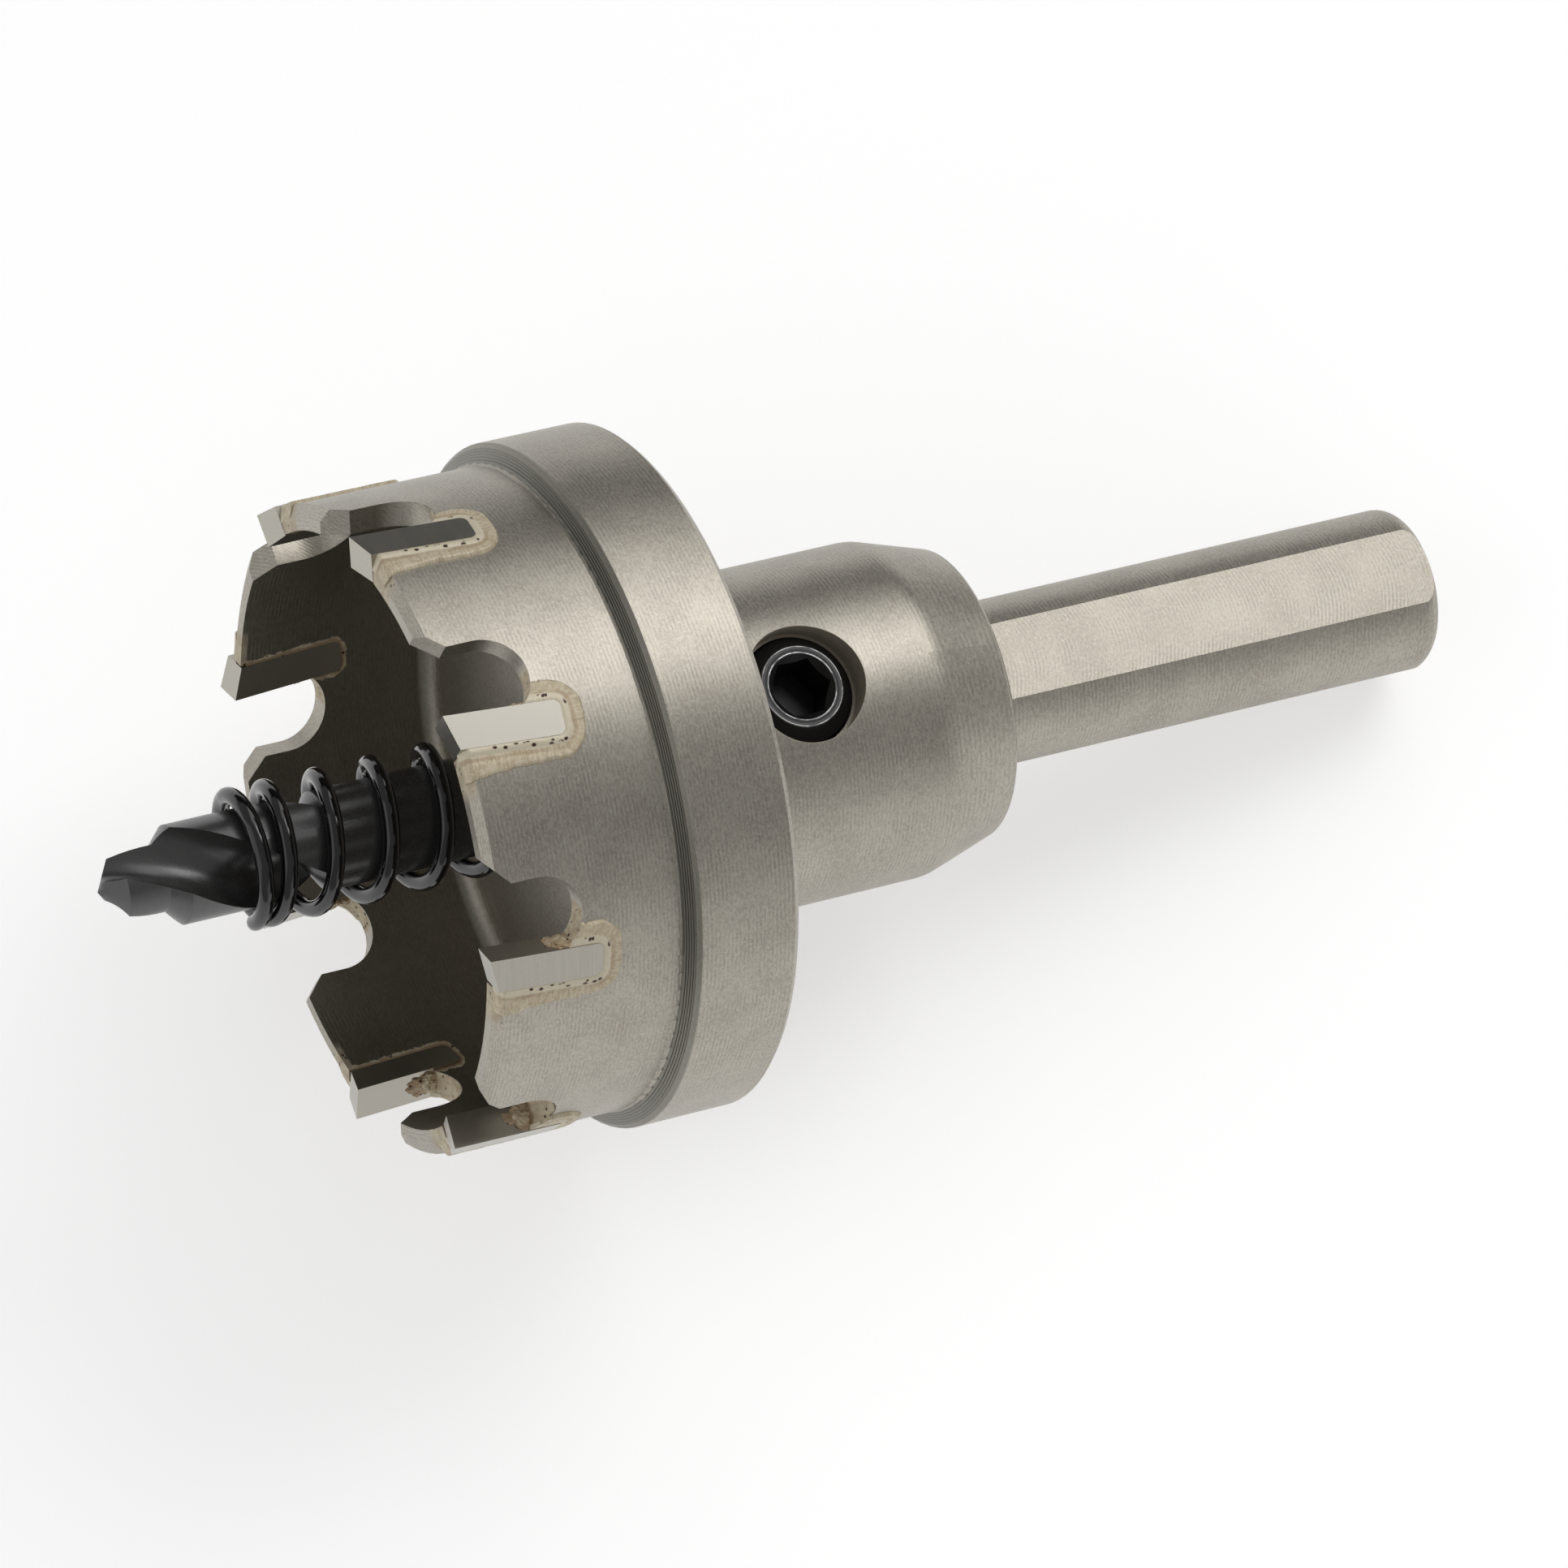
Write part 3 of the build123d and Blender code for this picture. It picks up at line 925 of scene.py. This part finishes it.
@dataclass
class EjectorSpring:
    """The smooth round wire of the ejector spring, wound left-handed, in millimetres."""

    wire: float = 1.0
    outer_diameter: float = 8.26
    reach: float = 25.7
    seat: float = -5.85
    start_angle: float = 105.0
    front: tuple[CoilStretch, ...] = (
        CoilStretch(0.5, 0.10),
        CoilStretch(0.5, 1.95),
        CoilStretch(0.5, 2.40),
        CoilStretch(0.5, 2.90),
    )
    active: float = 4.21
    rear_closed: float = 1.0
    closed_gap: float = 0.03
    steps_a_turn: int = 72
    sides: int = 28

    @property
    def front_end(self) -> float:
        """Where the wire's middle starts, along the tool."""
        return -self.reach + self.wire / 2

    def stretches(self) -> list[CoilStretch]:
        """The gathered front turns, the open ones and the closed rear, which together fill its length."""
        closed_pitch = self.wire + self.closed_gap
        length = self.seat - self.wire / 2 - self.front_end
        gathered = sum(stretch.turns * stretch.pitch for stretch in self.front)
        open_pitch = (length - gathered - self.rear_closed * closed_pitch) / self.active
        return [*self.front, CoilStretch(self.active, open_pitch), CoilStretch(self.rear_closed, closed_pitch)]

    def model(self, tool: ToolFrame) -> bpy.types.Object:
        """Winds the wire.

        Args:
            tool: the tool's frame.

        Returns:
            The spring, with its place in its mesh.
        """
        coil_radius = (self.outer_diameter - self.wire) / 2
        bpy.ops.object.select_all(action="DESELECT")
        bpy.ops.mesh.primitive_circle_add(
            vertices=self.sides,
            radius=self.wire / 2 * MM,
            fill_type="NGON",
            location=(coil_radius * MM, 0.0, self.front_end * MM),
            rotation=(math.pi / 2, 0.0, 0.0),
        )
        spring = bpy.context.object
        spring.name = "smooth_spring"
        bpy.ops.object.transform_apply(location=True, rotation=True, scale=True)
        bpy.ops.object.mode_set(mode="EDIT")
        for stretch in self.stretches():
            steps = max(1, round(stretch.turns * self.steps_a_turn))
            rise = stretch.turns * stretch.pitch / steps * MM
            turn = math.tau * stretch.turns / steps
            for _ in range(steps):
                bpy.ops.mesh.extrude_region_move(TRANSFORM_OT_translate={"value": (0.0, 0.0, rise)})
                bpy.ops.transform.rotate(value=turn, orient_axis="Z", center_override=(0.0, 0.0, 0.0))
        bpy.ops.object.mode_set(mode="OBJECT")
        place = tool.place @ Matrix.Rotation(math.radians(self.start_angle), 4, "Z")
        spring.data.transform(place)
        bpy.ops.object.shade_smooth()
        return spring

    def build(self, tool: ToolFrame, finish: bpy.types.Material) -> bpy.types.Object:
        """Models the spring, dresses it and puts it in the place of its plain solid."""
        spring = self.model(tool)
        spring.data.materials.clear()
        spring.data.materials.append(finish)
        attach(spring, "root")
        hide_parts("ejector_spring")
        return spring


@dataclass
class BrazeFilm:
    """The braze that flowed out over the wall round one tooth, in millimetres."""

    teeth: ToothPlan
    number: int
    wall: float = 18.74
    sunk: float = 0.05
    gullet_place: float = 1.97
    gullet_reach: float = 15.08
    gullet_radius: float = 2.45
    gullet_overlap: float = 0.02
    front: float = -17.87
    bevel_start: float = -17.48
    bevel_slope: float = 1.85
    bevel_lead: float = 0.07
    bevel_curve: float = 1.3
    rim_radius: float = 18.07
    overlap: float = 0.04
    joint_gap: float = 0.12
    base_height: float = 0.182
    bead_height: float = 0.068
    film_height: float = 0.022
    film_start: float = 0.25
    wave: tuple[float, float] = (0.014, 1.6)
    grit: tuple[float, float] = (0.006, 6.0)
    edge_depth: float = 0.03
    edge_width: float = 0.19
    columns: int = 22
    rows: tuple[int, ...] = (24, 12, 12, 12, 62)
    row_length: float = 0.087
    crease: float = 50.0

    attribute = "film"
    widths = ((0.0, 1.30), (24.0, 1.30), (42.0, 1.34), (60.0, 1.26), (90.0, 1.38), (122.0, 1.80))
    beads = ((0.0, 0.42), (24.0, 0.50), (42.0, 0.62), (60.0, 0.52), (76.0, 0.42), (122.0, 0.44))

    @staticmethod
    def between(points: tuple[tuple[float, float], ...], place: float) -> float:
        """Reads a value off a row of points, straight between them."""
        for (low, first), (high, second) in zip(points, points[1:]):
            if place <= high:
                return first + (second - first) * (place - low) / (high - low)
        return points[-1][1]

    @staticmethod
    def smooth(share: float) -> float:
        """A smooth step from 0 to 1."""
        share = max(0.0, min(1.0, share))
        return share * share * (3 - 2 * share)

    def roughly(self, across: float, down: float, waves: float) -> float:
        """Smooth noise from -1 to 1 that differs from tooth to tooth."""
        return noise.noise(Vector((across * waves, down * waves, self.number * 17.3)))

    def beside(self, step: float, gap: float) -> tuple[float, float]:
        """A point beside the tooth.

        Args:
            step: how far round the tooth, counted in rows from the gullet to the rim.
            gap: the distance from the tooth.

        Returns:
            Its places across and down the tooth's outline.
        """
        rake, first, rear, second, heel = self.rows
        corner, straight = self.teeth.corner, self.teeth.length - self.teeth.corner
        lean = math.radians(self.teeth.rake)
        radius = corner + gap
        if step < rake:
            reach = math.sqrt(self.gullet_radius**2 - (self.gullet_place - gap) ** 2)
            begin = self.teeth.reach - self.gullet_reach + reach - self.gullet_overlap
            begin = (begin - gap * math.sin(lean)) / math.cos(lean)
            return -gap, begin + (straight - begin) * step / rake
        if step < rake + first:
            angle = math.pi / 2 * (step - rake) / first
            return corner - radius * math.cos(angle), straight + radius * math.sin(angle)
        if step < rake + first + rear:
            share = (step - rake - first) / rear
            return corner + (self.teeth.thickness - 2 * corner) * share, straight + radius
        far = self.teeth.thickness - corner
        if step < rake + first + rear + second:
            angle = math.pi / 2 * (step - rake - first - rear) / second
            return far + radius * math.sin(angle), straight + radius * math.cos(angle)
        share = (step - rake - first - rear - second) / heel
        across = self.teeth.thickness + gap
        end = (self.front + self.teeth.reach + across * math.sin(lean)) / math.cos(lean)
        return across, straight + (end - straight) * share

    def height(self, step: float, gap: float, width: float, across: float, down: float) -> float:
        """How far the braze stands out over the wall at a point.

        Args:
            step: how far round the tooth, in rows.
            gap: the distance from the tooth.
            width: how wide the film is here.
            across: the point's place across the tooth's outline.
            down: its place down the outline.

        Returns:
            The height, a little under the wall at the film's edge.
        """
        bead = self.between(self.beads, step)
        crown = math.sin(math.pi * max(0.0, min(1.0, (gap + self.joint_gap) / (bead + self.joint_gap))))
        film = self.smooth((gap - bead - self.film_start) / 0.3)
        height = self.base_height + self.bead_height * crown + self.film_height * film
        height += sum(size * self.roughly(across, down, waves) for size, waves in (self.wave, self.grit))
        return -self.edge_depth + (height + self.edge_depth) * self.smooth((width - gap) / self.edge_width)

    def place(self, along: float, aside: float, above: bool) -> tuple[Vector, Vector]:
        """Finds where a corner of the flat grid goes.

        Args:
            along: its share of the way round the tooth, from 0 to 1.
            aside: its share of the way outwards from the tooth.
            above: whether it is on the outer side.

        Returns:
            Its place in the tooth's own frame, and its gap, distance to the edge and way round.
        """
        step = along * sum(self.rows)
        width = self.between(self.widths, step) + 0.09 * self.roughly(step * 0.09, 3.0, 2.2)
        width += 0.05 * self.roughly(step * 0.09, 9.0, 7.0)
        gap = -self.overlap + (width + self.overlap) * aside
        across, down = self.beside(step, gap)
        lean = math.radians(self.teeth.rake)
        sideways = across * math.cos(lean) + down * math.sin(lean)
        rearwards = down * math.cos(lean) - across * math.sin(lean) - self.teeth.reach
        under = self.wall - self.sunk - max(0.0, self.bevel_start - rearwards) * self.bevel_slope
        radius = under
        if above:
            radius = self.wall + self.height(step, gap, width, across, down)
            start = self.bevel_start - self.bevel_lead
            fall = max(0.0, start - rearwards) / (start - self.front)
            radius += (self.rim_radius - radius) * fall**self.bevel_curve
            radius = max(radius, under + 0.01)
        turn = math.asin(sideways / self.wall)
        point = Vector((radius * math.cos(turn), radius * math.sin(turn), rearwards))
        return point, Vector((gap, width - gap, step * self.row_length))

    def model(self, tool: ToolFrame) -> bpy.types.Object:
        """Extrudes a fine flat grid to a slab and lays it round the tooth.

        Args:
            tool: the tool's frame.

        Returns:
            The film, with its place in its mesh.
        """
        bpy.ops.object.select_all(action="DESELECT")
        bpy.ops.mesh.primitive_grid_add(x_subdivisions=sum(self.rows), y_subdivisions=self.columns, size=1.0)
        film = bpy.context.object
        film.name = f"braze_film_{self.number}"
        bpy.ops.object.mode_set(mode="EDIT")
        bpy.ops.mesh.select_all(action="SELECT")
        bpy.ops.mesh.extrude_region_move(TRANSFORM_OT_translate={"value": (0.0, 0.0, 1.0)})
        bpy.ops.object.mode_set(mode="OBJECT")
        mesh = film.data
        measures = mesh.attributes.new(self.attribute, "FLOAT_VECTOR", "POINT")
        for vertex, measure in zip(mesh.vertices, measures.data):
            corner = vertex.co
            point, values = self.place(corner.x + 0.5, corner.y + 0.5, corner.z > 0.5)
            vertex.co = point * MM
            measure.vector = values
        bpy.ops.object.mode_set(mode="EDIT")
        bpy.ops.mesh.select_all(action="SELECT")
        bpy.ops.mesh.normals_make_consistent(inside=False)
        bpy.ops.object.mode_set(mode="OBJECT")
        angle = math.radians(self.teeth.angles[self.number - 1])
        mesh.transform(tool.place @ Matrix.Rotation(angle, 4, "Z"))
        bpy.ops.object.shade_smooth_by_angle(angle=math.radians(self.crease))
        return film

    def build(self, tool: ToolFrame, finish: bpy.types.Material) -> bpy.types.Object:
        """Models the film and dresses it. The solid braze stays under it."""
        film = self.model(tool)
        film.data.materials.clear()
        film.data.materials.append(finish)
        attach(film, "root")
        return film


@dataclass
class GulletCrust:
    """The lump of braze in the corner between one tooth's rake face and its gullet."""

    teeth: ToothPlan
    number: int
    centre: tuple[float, float, float] = (18.02, 0.36, -13.95)
    size: tuple[float, float, float] = (0.70, 0.34, 0.95)
    roughness: float = 0.24
    lump_waves: float = 1.6
    grit_waves: float = 5.0

    def build(self, tool: ToolFrame, finish: bpy.types.Material) -> bpy.types.Object:
        """Models a rough lump and dresses it.

        Args:
            tool: the tool's frame.
            finish: the braze's material.

        Returns:
            The lump, with its place in its mesh.
        """
        bpy.ops.object.select_all(action="DESELECT")
        bpy.ops.mesh.primitive_ico_sphere_add(subdivisions=5, radius=1.0)
        crust = bpy.context.object
        crust.name = f"gullet_crust_{self.number}"
        for vertex in crust.data.vertices:
            there = vertex.co + Vector((0.0, 0.0, self.number * 5.1))
            push = noise.noise(there * self.lump_waves) * 2 + noise.noise(there * self.grit_waves)
            length = 1 + self.roughness * push
            sized = Vector(side * part * length for side, part in zip(self.size, vertex.co))
            vertex.co = (Vector(self.centre) + sized) * MM
        angle = math.radians(self.teeth.angles[self.number - 1])
        crust.data.transform(tool.place @ Matrix.Rotation(angle, 4, "Z"))
        bpy.ops.object.shade_smooth()
        crust.data.materials.clear()
        crust.data.materials.append(finish)
        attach(crust, "root")
        return crust


@dataclass
class HoleCutter:
    """The whole tool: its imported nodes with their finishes, the smooth spring and the flowed braze."""

    nodes: dict[str, bpy.types.Object]
    tool: ToolFrame
    teeth: ToothPlan = field(default_factory=ToothPlan)

    def dress(self, name: str, finish: bpy.types.Material) -> None:
        """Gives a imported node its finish.

        Args:
            name: the node's name.
            finish: the material.
        """
        node = self.nodes[name]
        for slot in node.material_slots:
            slot.material = finish
        LOG.info("%s: %s", name, finish.name)

    def build(self) -> None:
        """Dresses every node and adds the pieces that are made here."""
        colours = BrazeColours()
        braze = BrazeMetal(colours)
        joints = braze.build(self.tool, self.teeth)
        flowed = braze.build_flowed(self.tool)
        carbide = GroundCarbide().build(self.tool)
        drill = BlackSteel("black_oxide", (0.034, 0.033, 0.032), (0.085, 0.081, 0.074), 0.30, ior=1.8)
        wire = BlackSteel(
            "black_wire", (0.006, 0.006, 0.007), (0.02, 0.02, 0.02), 0.10, ior=1.6, wear_share=0.2, grit_height=0.0005
        )
        self.dress("cutter_body", SatinSteel().build(self.tool, self.teeth, colours))
        self.dress("pilot_drill", drill.build(self.tool))
        self.dress("set_screw", ScrewFinish().build(self.tool))
        spring = EjectorSpring().build(self.tool, wire.build(self.tool))
        LOG.info("%s: %d faces", spring.name, len(spring.data.polygons))
        for number in range(1, len(self.teeth.angles) + 1):
            self.dress(f"carbide_tooth_{number}", carbide)
            self.dress(f"braze_joint_{number}", joints)
            film = BrazeFilm(self.teeth, number).build(self.tool, flowed)
            crust = GulletCrust(self.teeth, number).build(self.tool, joints)
            LOG.info("%s and %s: %d faces", film.name, crust.name, len(film.data.polygons) + len(crust.data.polygons))


def main() -> None:
    """Builds the tool, the stage and the camera."""
    logging.basicConfig(level=logging.INFO, format="%(message)s")
    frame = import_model()
    tool = ToolFrame.from_record(frame["record"], SHANK_REACH * MM)
    HoleCutter(frame["nodes"], tool).build()
    Studio().build()
    Viewpoint().build(tool)


if __name__ == "__main__":
    main()
